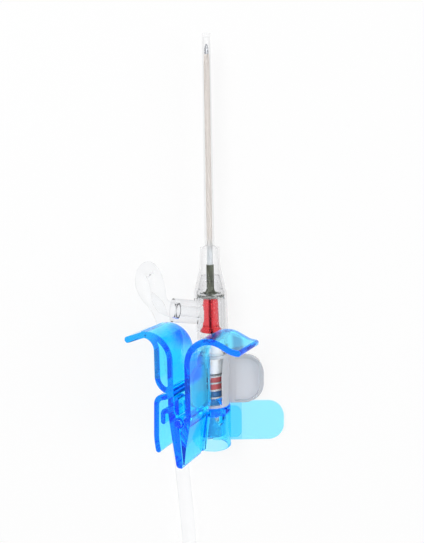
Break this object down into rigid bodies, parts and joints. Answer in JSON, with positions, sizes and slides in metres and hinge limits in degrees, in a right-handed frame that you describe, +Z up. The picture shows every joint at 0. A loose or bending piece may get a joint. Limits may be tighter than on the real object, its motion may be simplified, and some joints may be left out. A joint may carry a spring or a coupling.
{
  "type": "infusion needle",
  "caption": "Closed infusion needle: covered steel needle in a soft catheter, clear hub with septum and side tube, grey winged saddle, blue squeeze-clip grip and paddle.",
  "frame": {"origin": "on the table under the needle axis, on the saddle's flat pad, level with the middle of its wings", "axes": "+Y along the needle towards its tip, +X towards the flat wing and the paddle, +Z up from the table"},
  "size_m": [0.0552, 0.1602, 0.0216],
  "materials": {
    "steel": "fine drawn",
    "wedge_metal": "satin",
    "catheter": "soft satin",
    "clear_plastic": "clear moulded",
    "grey_seal": "satin",
    "red_rubber": "satin",
    "grey_plastic": "satin moulded",
    "red_plastic": "gloss",
    "teal_plastic": "gloss",
    "white_plastic": "satin",
    "blue_plastic": "clear blue moulded",
    "clear_tubing": "clear flexible tubing"
  },
  "bodies": {
    "catheter_set": {"catheter_tube": "catheter", "catheter_wedge": "wedge_metal", "hub_nose": "clear_plastic", "seal_disc": "grey_seal", "catheter_hub": "clear_plastic", "septum": "red_rubber", "wing_saddle": "grey_plastic", "extension_tube": "clear_tubing", "tube_connector": "clear_plastic"},
    "cover": {"needle_cover": "clear_plastic"},
    "needle_unit": {"needle_cannula": "steel", "needle_holder": "clear_plastic", "front_ring": "red_plastic", "middle_ring": "red_plastic", "rear_ring": "teal_plastic", "vent_plug": "white_plastic", "grip_body": "blue_plastic", "hinge_pin": "blue_plastic"},
    "lever": {"clip_lever": "blue_plastic"},
    "cap": {"connector_cap": "white_plastic"}
  },
  "joints": [
    {"name": "cover_slide", "type": "slide", "parent": "catheter_set", "child": "cover", "axis": [0, 1, 0], "range_m": [0, 0.065]},
    {"name": "needle_withdraw", "type": "slide", "parent": "catheter_set", "child": "needle_unit", "axis": [0, -1, 0], "range_m": [0, 0.08]},
    {"name": "clip_squeeze", "type": "hinge", "parent": "needle_unit", "child": "lever", "pos_m": [-0.00107, -0.005, 0.00356], "axis": [0.454, 0, -0.891], "range_deg": [0, 5], "stiffness_Nm_per_rad": 0.05},
    {"name": "cap_pull", "type": "slide", "parent": "catheter_set", "child": "cap", "axis": [-0.9738, -0.2272, 0], "range_m": [0, 0.008]}
  ]
}
